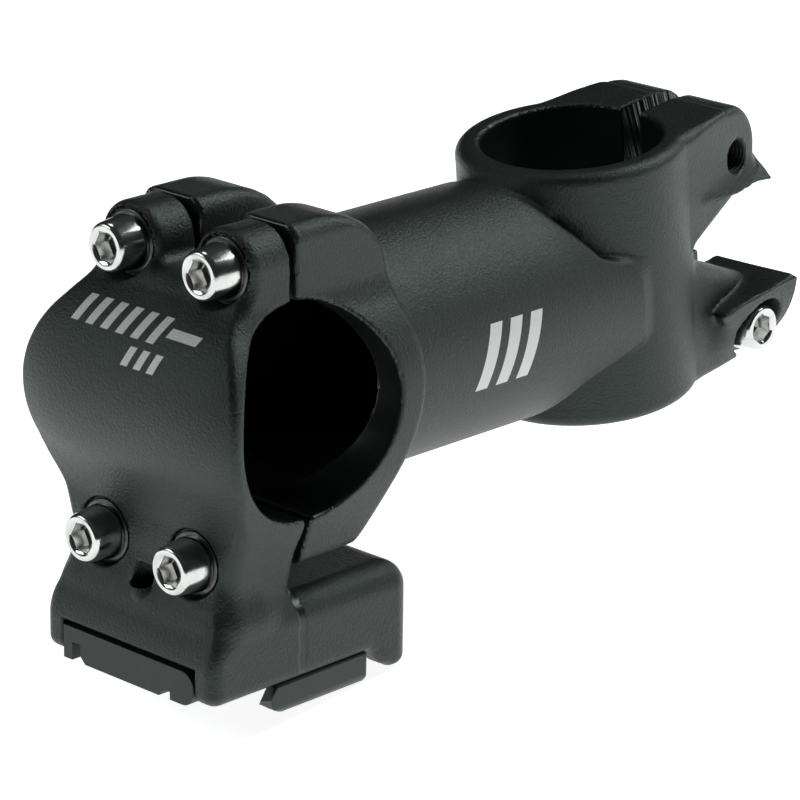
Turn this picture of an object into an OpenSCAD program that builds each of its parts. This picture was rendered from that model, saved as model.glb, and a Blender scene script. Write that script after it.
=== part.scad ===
// Threadless handlebar stem with a four-bolt bar clamp and an accessory dock.
// Origin: middle of the steerer bore. +Z along the steerer, the bar clamp towards -Y.

/* [Steerer clamp] */
// Diameter of the steerer bore
steerer_bore_d = 28.6; // [25.4:0.1:31.8]
// Height of the steerer clamp
clamp_h = 42.5; // [36:0.5:55]
// Wall thickness round the steerer bore
steerer_wall = 4.1; // [3:0.1:6]
// Width of the slit between the rear ears
slit_w = 3.6; // [2:0.1:5]
// Distance from the steerer axis back to the pinch bolts
pinch_back = 24.5; // [23:0.5:29]
// Height of the upper pinch bolt above the middle
pinch_up = 12.7; // [11:0.1:14]
// Depth of the lower pinch bolt below the middle
pinch_down = 16.2; // [13:0.1:17]
// Distance from the slit's middle to the pinch bolt seats
pinch_seat = 11.9; // [11:0.1:14]

/* [Extension] */
// Length from the steerer axis to the bar centre
reach = 80; // [70:1:120]
// Rise angle of the extension in degrees
rise = 7; // [0:1:12]
// Height at which the extension's axis crosses the steerer axis
tube_z = -2; // [-3:0.5:2]
// Outer diameter of the extension
tube_d = 38.8; // [38:0.2:41]
// Wall thickness of the extension
tube_wall = 2.2; // [1.6:0.1:4]

/* [Bar clamp] */
// Diameter of the handlebar bore
bar_bore_d = 31.8; // [25.4:0.1:32]
// Width of the clamp at its middle
clamp_w = 45.4; // [42:0.2:56]
// Wall thickness in front of the handlebar bore
bar_wall = 3.6; // [3:0.1:5]
// Gap between the clamp's two halves
split_gap = 1; // [0.4:0.1:2]
// Sideways distance between the upper bolts
upper_pitch = 19.6; // [18:0.2:22]
// Sideways distance between the lower bolts
lower_pitch = 18.9; // [18:0.2:22]
// Height of the upper bolts above the bar centre
upper_rise = 21.1; // [21:0.1:25]
// Depth of the lower bolts below the bar centre
lower_drop = 22; // [21:0.1:23]
// Distance from the bar centre forward to the upper bolt seats
upper_seat = 7.3; // [6:0.1:9]
// Distance from the bar centre forward to the lower bolt seats
lower_seat = 13; // [11:0.1:14]

/* [Accessory dock] */
// Width of the block below the clamp
block_w = 36.6; // [36:0.2:44]
// Distance from the bar centre forward to the block's front face
block_front = 18; // [17:0.2:22]
// Distance from the bar centre back to the block's rear face
block_rear = 23.2; // [20:0.2:26]
// Depth of the block's shelf below the bar centre
shelf_drop = 28.6; // [28:0.1:31]
// Height of the block below its shelf
block_h = 12.7; // [11:0.1:15]
// Width of the channel that holds the dock rail
channel_w = 28.4; // [27:0.2:30]
// Height of the channel that holds the dock rail
channel_h = 5.2; // [4:0.1:6]
// Width over the two rails
rail_w = 35; // [32:0.2:36]
// Width of the opening between the two rails
rail_gap = 20; // [18:0.2:23]
// Height of the rails below the block
rail_h = 4.4; // [4:0.1:6]
// Thickness of the rails' inward flanges
flange_t = 2; // [1.5:0.1:2.4]
// Length of the stop at the block's rear
stop_len = 7.8; // [6:0.2:8]
// Depth of the stop below the block
stop_drop = 4.1; // [3:0.1:6]
// Depth of the cover's tongue and legs below the block
cover_drop = 0.8; // [0.4:0.1:2]

/* [Screws] */
// Thread diameter of the clamp bolts
bolt_d = 5; // [4:0.5:5]
// Shank length of the clamp bolts
bolt_len = 20; // [18:1:22]
// Head diameter of the clamp bolts
head_d = 8.5; // [8:0.1:8.8]
// Head height of the clamp bolts
head_h = 5; // [4:0.1:6]
// Socket size of the clamp bolts across the flats
socket_af = 4; // [3:0.5:4]
// Outer diameter of the washers
washer_d = 9.6; // [9.4:0.1:10]
// Thickness of the washers
washer_t = 0.5; // [0.3:0.1:1]
// Thread diameter of the dock's clamping screw
grub_d = 4; // [3:0.5:5]
// Length of the dock's clamping screw
grub_len = 5; // [4:0.5:6]
// Thread diameter of the countersunk dock screws
dock_screw_d = 3; // [2.5:0.5:3]
// Length of the countersunk dock screws
dock_screw_len = 8; // [6:0.5:9]

/* [Fits] */
// Radial clearance of a screw in its threaded hole
thread_fit = 0.05; // [0.02:0.01:0.1]
// Radial clearance of a bolt in its plain hole
bolt_clear = 0.25; // [0.15:0.05:0.5]
// Gap between the dock pieces and the block
dock_clear = 0.2; // [0.1:0.05:0.3]
// Radial room round a bolt head or washer in its recess
seat_clear = 0.4; // [0.3:0.05:0.6]

/* [Hidden] */
$fn = 96;
sides = [-1, 1];
side_names = ["left", "right"];
ends = ["upper", "lower"];
pinch_side = [-1, 1];

steerer_r = steerer_bore_d / 2;
barrel_r = steerer_r + steerer_wall;
rim_chamfer = 0.75;
bar_r = bar_bore_d / 2;
tube_r = tube_d / 2;
hollow_r = tube_r - tube_wall;
shell_r = bar_r + bar_wall;
boss_r = washer_d / 2 + 1.4;
hole_r = bolt_d / 2 + bolt_clear;
thread_r = bolt_d / 2 + thread_fit;
recess_r = washer_d / 2 + seat_clear;

// Bar clamp: places along the clamp's own upright axis and depths from the bar centre
ear_top = upper_rise + boss_r;
body_bottom = lower_drop + 2.2;
clamp_back = bar_r + 5.7;
upper_x = upper_pitch / 2;
lower_x = lower_pitch / 2;
shelf_z = -shelf_drop;
block_z = shelf_z - block_h;
channel_z = block_z + channel_h;
crown_r = 19;
skirt_r = 42;
skirt_half = lower_x + boss_r + 0.6;

// Rear ears: outline in the side view
ear_back = pinch_back + 6.4;
notch_y = 8.5;

// Dock pieces
rear_wall = 2;
plate_rear = block_rear - rear_wall;
cover_t = 5.4;
plate_front = block_front - cover_t - dock_clear;
rail_z = block_z - rail_h;
foot_front = 4.5;
foot_rear = stop_len + 0.9 - block_rear;
nose = 1.6;
slot_gap = 0.7;
cover_top = channel_z - slot_gap;
tongue_w = rail_gap - 3;
leg_w = 5;
screw_y = [4.5, -12];
csk_r = dock_screw_d;

black = [0.06, 0.065, 0.065];
steel = [0.78, 0.79, 0.8];

function arc(cx, cy, r, from, to, n) =
    [for (i = [0:n]) let (a = from + (to - from) * i / n) [cx + r * cos(a), cy + r * sin(a)]];

// Puts its children in the bar clamp's frame: -Y forward, +Z up, origin at the bar centre
module at_bar() {
    translate([0, 0, tube_z]) rotate([-rise, 0, 0]) translate([0, -reach, 0]) children();
}

// A cylinder along X that starts at x
module along_x(r, x, length) {
    translate([x, 0, 0]) rotate([0, 90, 0]) cylinder(r = r, h = length);
}

// A cylinder along Y that starts at y
module along_y(r, y, length) {
    translate([0, y, 0]) rotate([-90, 0, 0]) cylinder(r = r, h = length);
}

// Extrudes a side view, drawn as (y, z), over the width w
module side_solid(w) {
    translate([-w / 2, 0, 0]) rotate([90, 0, 90]) linear_extrude(w) children();
}

// Extrudes a front view, drawn as (x, z), from y1 to y2
module front_solid(y1, y2) {
    translate([0, y2, 0]) rotate([90, 0, 0]) linear_extrude(y2 - y1) children();
}

// Side view of the two rear ears with the notch between them
module ears_side() {
    lobe_r = 6.6;
    top = clamp_h / 2;
    polygon(concat(
        [[0, top], [pinch_back - 1.3, top]],
        arc(ear_back - lobe_r - 1.2, top - lobe_r - 1.2, lobe_r + 1.2, 78, 0, 6),
        arc(pinch_back, pinch_up, lobe_r, 0, -62, 5),
        [[notch_y, 0.7], [notch_y, -1]],
        arc(pinch_back - 0.5, -pinch_down, lobe_r, 74, 0, 6),
        arc(ear_back - 4.4, 4 - top, 4, -10, -80, 4),
        [[0, -top]]
    ));
}

// Plan of the rear ears, which taper towards the back
module ears_plan() {
    near = barrel_r - 0.8;
    polygon([[-near, 4], [near, 4], [pinch_seat + 1.2, pinch_back], [pinch_seat - 0.2, ear_back + 1],
        [0.2 - pinch_seat, ear_back + 1], [-pinch_seat - 1.2, pinch_back]]);
}

// Front view of the clamp: a crowned middle, a skirt below and two round ears on top
module clamp_front() {
    half = clamp_w / 2;
    crown_x = half - crown_r;
    intersection() {
        union() {
            for (s = sides) translate([s * crown_x, 0]) circle(crown_r);
            translate([-crown_x, 0]) square([2 * crown_x, crown_r]);
        }
        translate([-half, 0]) square([clamp_w, crown_r]);
    }
    intersection() {
        translate([half - skirt_r, 0]) circle(skirt_r);
        translate([skirt_r - half, 0]) circle(skirt_r);
        translate([-half, shelf_z - 1]) square([clamp_w, 1 - shelf_z]);
    }
    translate([-skirt_half, shelf_z - 1]) square([2 * skirt_half, -shelf_z]);
    for (s = sides) translate([s * upper_x, upper_rise]) {
        circle(boss_r);
        translate([-boss_r, -upper_rise + 8]) square([2 * boss_r, upper_rise - 8]);
    }
}

// Side view of the rear half of the clamp
module rear_half_side() {
    back = clamp_back;
    polygon([[split_gap / 2, ear_top], [10.5, ear_top], [14.8, ear_top - 2], [back - 2.4, ear_top - 6.8],
        [back - 0.4, 12], [back, 0], [back - 2, -12], [back - 4.6, -20], [14, 0.7 - body_bottom],
        [12.4, -body_bottom], [split_gap / 2, -body_bottom]]);
}

// Side view of the front half of the clamp, down to the block
module front_half_side() {
    u = upper_seat;
    l = lower_seat;
    polygon(concat(
        [[-split_gap / 2, shelf_z - 1], [-split_gap / 2, ear_top], [-u + 2.5, ear_top]],
        [[-u, ear_top - 1.8], [-u, upper_rise - 3]],
        arc(0, 0, shell_r, 136, 222, 14),
        [[-l - 0.6, -lower_drop + 6.4], [-l, -lower_drop + 4.6], [-l, shelf_z + 2.2]],
        [[-block_front, shelf_z - 1]]
    ));
}

// Steerer clamp, extension and the rear half of the bar clamp
module stem_body() {
    color(black) difference() {
        union() {
            translate([0, 0, -clamp_h / 2]) cylinder(r = barrel_r, h = clamp_h);
            intersection() {
                side_solid(2 * barrel_r) ears_side();
                translate([0, 0, -clamp_h / 2]) linear_extrude(clamp_h) ears_plan();
            }
            extension();
            at_bar() intersection() {
                side_solid(clamp_w) rear_half_side();
                front_solid(0, clamp_back + 1) clamp_front();
            }
        }
        steerer_hole();
        pinch_holes();
        at_bar() {
            along_x(bar_r, -clamp_w / 2 - 1, clamp_w + 2);
            translate([-clamp_w, -clamp_w, -clamp_w])
                cube([2 * clamp_w, clamp_w + split_gap / 2, 2 * clamp_w]);
            along_y(hollow_r, 0, reach - barrel_r - 3);
            for (s = sides) {
                translate([s * upper_x, 0, upper_rise]) along_y(thread_r, -1, bolt_reach(0) + 2.5);
                translate([s * lower_x, 0, -lower_drop]) along_y(thread_r, -1, bolt_reach(1) + 2.5);
            }
        }
    }
}

// How far a faceplate bolt's tip goes behind the bar centre
function bolt_reach(end) = bolt_len - washer_t - (end == 0 ? upper_seat : lower_seat);

// Round extension, a little slimmer where it enters the steerer clamp
module extension() {
    flare = 16;
    at_bar() {
        along_y(tube_r, 0, reach - flare);
        translate([0, reach - flare, 0]) rotate([-90, 0, 0])
            cylinder(r1 = tube_r, r2 = barrel_r - 0.6, h = flare);
    }
}

module steerer_hole() {
    translate([0, 0, -clamp_h / 2 - 1]) cylinder(r = steerer_r, h = clamp_h + 2);
    for (s = sides) rotate([s > 0 ? 0 : 180, 0, 0])
        translate([0, 0, clamp_h / 2 - rim_chamfer])
            cylinder(r1 = steerer_r, r2 = steerer_r + 2 * rim_chamfer, h = 2 * rim_chamfer);
    translate([-slit_w / 2, 0, -clamp_h]) cube([slit_w, ear_back + 5, 2 * clamp_h]);
}

// Places a child on the axis of pinch bolt 0 (upper) or 1 (lower), with +X towards its head
module at_pinch(i) {
    translate([0, pinch_back, i == 0 ? pinch_up : -pinch_down])
        rotate([0, 0, pinch_side[i] > 0 ? 0 : 180]) children();
}

module pinch_holes() {
    for (i = [0, 1]) at_pinch(i) {
        along_x(hole_r, 0, pinch_seat + 1);
        along_x(recess_r, pinch_seat, head_h + 4);
        along_x(thread_r, -barrel_r - 4, barrel_r + 4);
    }
}

// Front half of the bar clamp with the accessory block below it
module faceplate() {
    color(black) at_bar() difference() {
        union() {
            intersection() {
                side_solid(clamp_w) front_half_side();
                front_solid(-block_front - 6, 0) clamp_front();
            }
            block();
        }
        along_x(bar_r, -clamp_w / 2 - 1, clamp_w + 2);
        for (s = sides) {
            translate([s * upper_x, 0, upper_rise]) faceplate_hole(upper_seat);
            translate([s * lower_x, 0, -lower_drop]) faceplate_hole(lower_seat);
        }
        translate([-channel_w / 2, -block_front - 1, block_z - stop_drop - 1])
            cube([channel_w, 1 + block_front + plate_rear, channel_h + stop_drop + 1]);
        translate([0, -grub_y(), channel_z - 1])
            cylinder(r = grub_d / 2 + thread_fit, h = block_h + 4);
        for (y = screw_y) translate([0, -y, channel_z - 0.1])
            cylinder(r = dock_screw_d / 2 + thread_fit, h = dock_screw_len - channel_h + 2);
    }
}

// The clamping screw stands in the dip between the two lower bolts
function grub_y() = lower_seat + 1.8;

module faceplate_hole(seat) {
    along_y(hole_r, -seat - 1, seat + 1);
    along_y(recess_r, -seat - head_h - 6, head_h + 6);
}

// Block with rounded upright corners, a sloping front edge and a stop below its rear
module block() {
    corner = 3.4;
    depth = block_front + block_rear;
    intersection() {
        translate([0, 0, block_z - stop_drop]) linear_extrude(block_h + stop_drop) {
            for (s = sides, y = [corner - block_front, block_rear - corner])
                translate([s * (block_w / 2 - corner), y]) circle(corner);
            translate([-block_w / 2, corner - block_front]) square([block_w, depth - 2 * corner]);
            translate([corner - block_w / 2, -block_front]) square([block_w - 2 * corner, depth]);
        }
        side_solid(block_w) polygon([[-block_front, block_z], [-block_front, shelf_z - 2],
            [-block_front + 2, shelf_z], [block_rear - 4, shelf_z], [block_rear, shelf_z - 5],
            [block_rear, 1.2 - stop_drop + block_z], [block_rear - 1.2, block_z - stop_drop],
            [block_rear - stop_len + 1, block_z - stop_drop],
            [block_rear - stop_len, block_z - stop_drop + 1], [block_rear - stop_len, block_z]]);
    }
}

// Socket head cap screw along +X, its seat at x = 0
module cap_screw() {
    color(steel) difference() {
        union() {
            along_x(bolt_d / 2, -bolt_len, bolt_len);
            rotate([0, 90, 0]) cylinder(r1 = head_d / 2, r2 = head_d / 2 - 0.35, h = head_h - 0.5);
            translate([head_h - 0.5, 0, 0]) rotate([0, 90, 0])
                cylinder(r1 = head_d / 2 - 0.35, r2 = head_d / 2 - 0.8, h = 0.5);
        }
        translate([head_h - 2.8, 0, 0]) rotate([0, 90, 0])
            cylinder(r = socket_af / sqrt(3), h = 4, $fn = 6);
    }
}

module washer() {
    color(steel) difference() {
        along_x(washer_d / 2, 0, washer_t);
        along_x(bolt_d / 2 + 0.15, -1, washer_t + 2);
    }
}

// Seat of a faceplate bolt: end 0 upper or 1 lower, side -1 left or 1 right, +X forward
module at_faceplate_bolt(end, side) {
    x = end == 0 ? upper_x : lower_x;
    seat = end == 0 ? upper_seat : lower_seat;
    z = end == 0 ? upper_rise : -lower_drop;
    at_bar() translate([side * x, -seat, z]) rotate([0, 0, -90]) children();
}

module faceplate_bolt(end, side) {
    at_faceplate_bolt(end, side) translate([washer_t, 0, 0]) cap_screw();
}

module faceplate_washer(end, side) {
    at_faceplate_bolt(end, side) washer();
}

module pinch_bolt(i) {
    at_pinch(i) translate([pinch_seat + washer_t, 0, 0]) cap_screw();
}

module pinch_washer(i) {
    at_pinch(i) translate([pinch_seat, 0, 0]) washer();
}

// One foot of a rail: a neck on the outside and a flange that points inwards
module rail_foot(front, rear, front_nose) {
    inner = channel_w / 2 - 1.6;
    translate([inner, -front, rail_z]) cube([rail_w / 2 - inner, front - rear, rail_h]);
    translate([inner, -front, rail_z]) cube([1.4 - dock_clear, front - rear, rail_h + 2]);
    translate([rail_gap / 2, -front - front_nose, rail_z])
        cube([(rail_w - rail_gap) / 2, front - rear + front_nose, flange_t]);
}

// Plate in the block's channel with a pair of rails that hold an accessory
module dock_rail() {
    plate_top = channel_z - dock_clear;
    plate_w = channel_w - 2 * dock_clear;
    color(black) at_bar() difference() {
        union() {
            translate([-plate_w / 2, -plate_front, block_z])
                cube([plate_w, plate_front + plate_rear, plate_top - block_z]);
            for (s = [0, 1]) mirror([s, 0, 0]) {
                rail_foot(foot_front, foot_rear, nose);
            }
        }
        for (y = screw_y) translate([0, -y, 0]) {
            translate([0, 0, block_z - 1]) cylinder(r = dock_screw_d / 2 + bolt_clear, h = channel_h + 2);
            translate([0, 0, block_z - 0.01]) cylinder(r1 = csk_r + 0.2, r2 = dock_screw_d / 2, h = csk_r);
        }
    }
}

// Front cover with a tongue in its middle and a leg at each end
module dock_cover() {
    w = channel_w - 2 * dock_clear;
    foot_h = cover_drop + 1;
    color(black) at_bar() translate([0, -block_front, 0]) {
        translate([-w / 2, 0, block_z]) cube([w, cover_t, cover_top - block_z]);
        translate([-tongue_w / 2, 0, block_z - cover_drop]) cube([tongue_w, cover_t, foot_h]);
        for (x = [-w / 2, w / 2 - leg_w])
            translate([x, 0, block_z - cover_drop]) cube([leg_w, cover_t, foot_h]);
    }
}

// Headless clamping screw that bears on the dock cover
module dock_clamp_screw() {
    color(steel) at_bar() translate([0, -grub_y(), cover_top + 0.05]) difference() {
        cylinder(r = grub_d / 2, h = grub_len);
        translate([0, 0, grub_len - 2]) cylinder(r = grub_d / 4 / cos(30), h = 3, $fn = 6);
    }
}

// Countersunk screw from below
module dock_screw(i) {
    color(steel) at_bar() translate([0, -screw_y[i], block_z + 0.1]) difference() {
        union() {
            cylinder(r1 = csk_r, r2 = dock_screw_d / 2, h = csk_r - dock_screw_d / 2);
            cylinder(r = dock_screw_d / 2, h = dock_screw_len);
        }
        translate([0, 0, -1]) cylinder(r = 1.15, h = 2.2, $fn = 6);
    }
}

stem_body();
faceplate();
faceplate_bolt(0, -1);  // faceplate_bolt_upper_left
faceplate_bolt(0, 1);  // faceplate_bolt_upper_right
faceplate_bolt(1, -1);  // faceplate_bolt_lower_left
faceplate_bolt(1, 1);  // faceplate_bolt_lower_right
faceplate_washer(0, -1);  // faceplate_washer_upper_left
faceplate_washer(0, 1);  // faceplate_washer_upper_right
faceplate_washer(1, -1);  // faceplate_washer_lower_left
faceplate_washer(1, 1);  // faceplate_washer_lower_right
pinch_bolt(0);  // pinch_bolt_upper
pinch_bolt(1);  // pinch_bolt_lower
pinch_washer(0);  // pinch_washer_upper
pinch_washer(1);  // pinch_washer_lower
dock_rail();
dock_cover();
dock_clamp_screw();
dock_screw(0);  // dock_screw_front
dock_screw(1);  // dock_screw_rear
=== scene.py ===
import math
import bmesh
import bpy
import numpy as np
from mathutils import Matrix, Vector


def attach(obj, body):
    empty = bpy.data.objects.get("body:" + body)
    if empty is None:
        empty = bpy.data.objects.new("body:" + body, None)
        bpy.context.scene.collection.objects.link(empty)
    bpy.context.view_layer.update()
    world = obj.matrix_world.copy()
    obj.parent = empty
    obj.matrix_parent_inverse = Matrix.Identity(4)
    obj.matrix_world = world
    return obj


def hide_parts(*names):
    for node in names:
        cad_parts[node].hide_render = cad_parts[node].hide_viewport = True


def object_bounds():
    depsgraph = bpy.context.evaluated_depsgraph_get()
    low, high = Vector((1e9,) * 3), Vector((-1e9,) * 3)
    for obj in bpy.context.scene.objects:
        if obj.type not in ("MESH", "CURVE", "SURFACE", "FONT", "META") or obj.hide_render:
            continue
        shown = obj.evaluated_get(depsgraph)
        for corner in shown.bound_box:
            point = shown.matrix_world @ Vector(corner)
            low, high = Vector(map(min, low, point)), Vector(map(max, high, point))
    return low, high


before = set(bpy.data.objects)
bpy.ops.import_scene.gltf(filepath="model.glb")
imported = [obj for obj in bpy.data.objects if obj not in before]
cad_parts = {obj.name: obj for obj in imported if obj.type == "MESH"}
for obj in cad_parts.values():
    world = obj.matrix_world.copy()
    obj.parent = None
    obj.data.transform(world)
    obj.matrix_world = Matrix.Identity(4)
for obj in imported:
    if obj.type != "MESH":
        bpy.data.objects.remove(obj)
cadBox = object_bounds()
mm = 0.001

# The bar clamp's own frame: centre of the handlebar bore, forward along the screws, up along the clamp
riseAngle = math.radians(7)
barCentre = np.array([0.0, -79.404, 7.7495])
forward = np.array([0.0, -math.cos(riseAngle), math.sin(riseAngle)])
upward = np.array([0.0, math.sin(riseAngle), math.cos(riseAngle)])
sideways = np.array([1.0, 0.0, 0.0])


def clampPoint(x, f, u):
    # the bar centre plus x sideways, f forward and u upward
    return barCentre + x * sideways + f * forward + u * upward


def clampCoords(y, z):
    # forward and up distances from the bar centre: the offset's shadow on each direction
    dy, dz = y - barCentre[1], z - barCentre[2]
    return dy * forward[1] + dz * forward[2], dy * upward[1] + dz * upward[2]


# Camera, floor and light
view = {"azimuth": 45.51, "elevation": 23.74, "roll": -4.477, "distance": 0.6136, "lens": 180.33,
        "sensor": 36, "farthest": 20, "target": (0.001628, -0.043701, -0.007754)}


def makeCamera(s):
    # stands at the distance from its target, back along azimuth and elevation, rolled about that line
    a, e, r = (math.radians(s[k]) for k in ("azimuth", "elevation", "roll"))
    back = Vector((math.sin(a) * math.cos(e), -math.cos(a) * math.cos(e), math.sin(e)))
    level = Vector((math.cos(a), math.sin(a), 0))
    high = back.cross(level)
    right = math.cos(r) * level + math.sin(r) * high
    top = math.cos(r) * high - math.sin(r) * level
    data = bpy.data.cameras.new("camera")
    data.lens, data.sensor_width, data.clip_end = s["lens"], s["sensor"], s["farthest"]
    cam = bpy.data.objects.new("camera", data)
    turn = Matrix((right, top, back)).transposed().to_4x4()
    cam.matrix_world = Matrix.Translation(Vector(s["target"]) + s["distance"] * back) @ turn
    bpy.context.scene.collection.objects.link(cam)
    bpy.context.scene.camera = cam


studio = {"floorGap": 0.0004, "floorSize": 3.0, "floorColour": (0.93, 0.93, 0.93), "floorGlow": 0.9,
          "floorRough": 0.9, "floorShine": 0.1,
          "skyTop": (0.03, 0.035, 0.033), "skyLow": (0.015, 0.016, 0.016), "skyFrom": 0.15, "skyTo": 0.9,
          "skyStrength": 1.0, "lampColour": (0.92, 1.0, 0.97),
          "lamps": [
              # place, aimed at, size, power
              ((0.19, 0.52, 0.50), (0, -0.04, 0), (0.50, 0.36), 3.2),
              ((-0.50, -0.56, 0.40), (0, -0.08, 0), (0.32, 0.28), 1.2),
              ((-0.30, 0.10, 0.70), (0, -0.04, 0), (0.20, 0.20), 0.35)]}


def makeFloor(s):
    # one pale square just below the part
    size, low = s["floorSize"], cadBox[0][2] - s["floorGap"]
    mesh = bpy.data.meshes.new("floor")
    mesh.from_pydata([(-size, -size, low), (size, -size, low), (size, size, low), (-size, size, low)],
                     [], [(0, 1, 2, 3)])
    floor = bpy.data.objects.new("floor", mesh)
    bpy.context.scene.collection.objects.link(floor)
    paint = bpy.data.materials.new("paleFloor")
    paint.use_nodes = True
    shader = paint.node_tree.nodes["Principled BSDF"]
    shader.inputs["Base Color"].default_value = (*s["floorColour"], 1)
    shader.inputs["Roughness"].default_value = s["floorRough"]
    shader.inputs["Specular IOR Level"].default_value = s["floorShine"]
    shader.inputs["Emission Color"].default_value = (1, 1, 1, 1)
    shader.inputs["Emission Strength"].default_value = s["floorGlow"]
    mesh.materials.append(paint)


def makeSky(s):
    # a dim sky that grows a little lighter with height
    world = bpy.data.worlds.new("studio")
    world.use_nodes = True
    bpy.context.scene.world = world
    tree = world.node_tree
    coords = tree.nodes.new("ShaderNodeTexCoord")
    split = tree.nodes.new("ShaderNodeSeparateXYZ")
    ramp = tree.nodes.new("ShaderNodeValToRGB")
    tree.links.new(coords.outputs["Generated"], split.inputs[0])
    tree.links.new(split.outputs["Z"], ramp.inputs[0])
    low, high = ramp.color_ramp.elements
    low.position, low.color = s["skyFrom"], (*s["skyLow"], 1)
    high.position, high.color = s["skyTo"], (*s["skyTop"], 1)
    sky = tree.nodes["Background"]
    tree.links.new(ramp.outputs["Color"], sky.inputs["Color"])
    sky.inputs["Strength"].default_value = s["skyStrength"]
    bpy.context.scene.view_settings.view_transform = "Standard"


def makeLamps(s):
    # rectangular softboxes, each turned to face the spot that it is aimed at
    for i, (place, aim, (w, h), power) in enumerate(s["lamps"]):
        data = bpy.data.lights.new(f"softbox{i}", "AREA")
        data.shape, data.size, data.size_y = "RECTANGLE", w, h
        data.energy, data.color = power, s["lampColour"]
        lamp = bpy.data.objects.new(f"softbox{i}", data)
        lamp.location = place
        lamp.rotation_euler = (Vector(place) - Vector(aim)).to_track_quat("Z", "Y").to_euler()
        bpy.context.scene.collection.objects.link(lamp)


makeCamera(view)
makeFloor(studio)
makeSky(studio)
makeLamps(studio)
print("camera and studio made")


# Shapes worked out from signed distances, in millimetres
def roundUnion(a, b, radius):
    # joins two distances with a hollow fillet: the lesser distance, but at least the radius, less the
    # length of what each falls short of the radius
    short = np.hypot(np.maximum(radius - a, 0), np.maximum(radius - b, 0))
    return np.maximum(radius, np.minimum(a, b)) - short


def roundCut(a, b, radius):
    # keeps what lies inside both, its shared edge rounded to the radius
    return -roundUnion(-a, -b, radius)


def ease(start, end, v):
    # 0 before start, 1 after end, and three t squared less two t cubed between
    t = np.clip((v - start) / (end - start), 0, 1)
    return t * t * (3 - 2 * t)


def outlineDistance(px, py, corners):
    # signed distance to a closed outline: nearest edge, negative inside
    near = np.full(np.broadcast(px, py).shape, 1e9)
    sign = np.ones(near.shape)
    for (ax, ay), (bx, by) in zip(corners, corners[1:] + corners[:1]):
        ex, ey = bx - ax, by - ay
        wx, wy = px - ax, py - ay
        along = np.clip((wx * ex + wy * ey) / (ex * ex + ey * ey), 0, 1)
        near = np.minimum(near, (wx - ex * along) ** 2 + (wy - ey * along) ** 2)
        over, under, left = py >= ay, py < by, ex * wy > ey * wx
        sign = np.where((over & under & left) | (~over & ~under & ~left), -sign, sign)
    return sign * np.sqrt(near)


def boxDistance(px, py, x0, x1, y0, y1, radius=0.0):
    # signed distance to a rectangle with rounded corners
    dx = np.abs(px - (x0 + x1) / 2) - (x1 - x0) / 2 + radius
    dy = np.abs(py - (y0 + y1) / 2) - (y1 - y0) / 2 + radius
    return np.minimum(np.maximum(dx, dy), 0) + np.hypot(np.maximum(dx, 0), np.maximum(dy, 0)) - radius


def arcPoints(cx, cy, radius, start, end, count):
    # evenly spaced points on a circle, from the start angle to the end angle in degrees
    turn = np.radians(np.linspace(start, end, count))
    return [(cx + radius * math.cos(t), cy + radius * math.sin(t)) for t in turn]


def cornersCut(corners):
    # replaces each corner with two points, a quarter of the way along its edges
    pairs = zip(corners, corners[1:] + corners[:1])
    return [(a + (c - a) * t, b + (d - b) * t) for (a, b), (c, d) in pairs for t in (0.25, 0.75)]


def slope(distance, p, h=0.03):
    # how the distance grows along each axis, by central differences
    steps = np.eye(3) * h
    return np.stack([(distance(*(p + s).T) - distance(*(p - s).T)) / (2 * h) for s in steps], axis=1)


def settle(distance, p, rounds, longest=0.4, flattest=0.25):
    # moves points down the slope by distance over slope squared, so that they come to lie on the surface
    for _ in range(rounds):
        g = slope(distance, p)
        step = distance(*p.T) / np.maximum((g * g).sum(1), flattest)
        p = p - np.clip(step, -longest, longest)[:, None] * g
    return p


skin = {"settling": 3, "evenings": 2, "pull": 0.5, "resettling": 2, "facingReach": 0.2}


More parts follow.
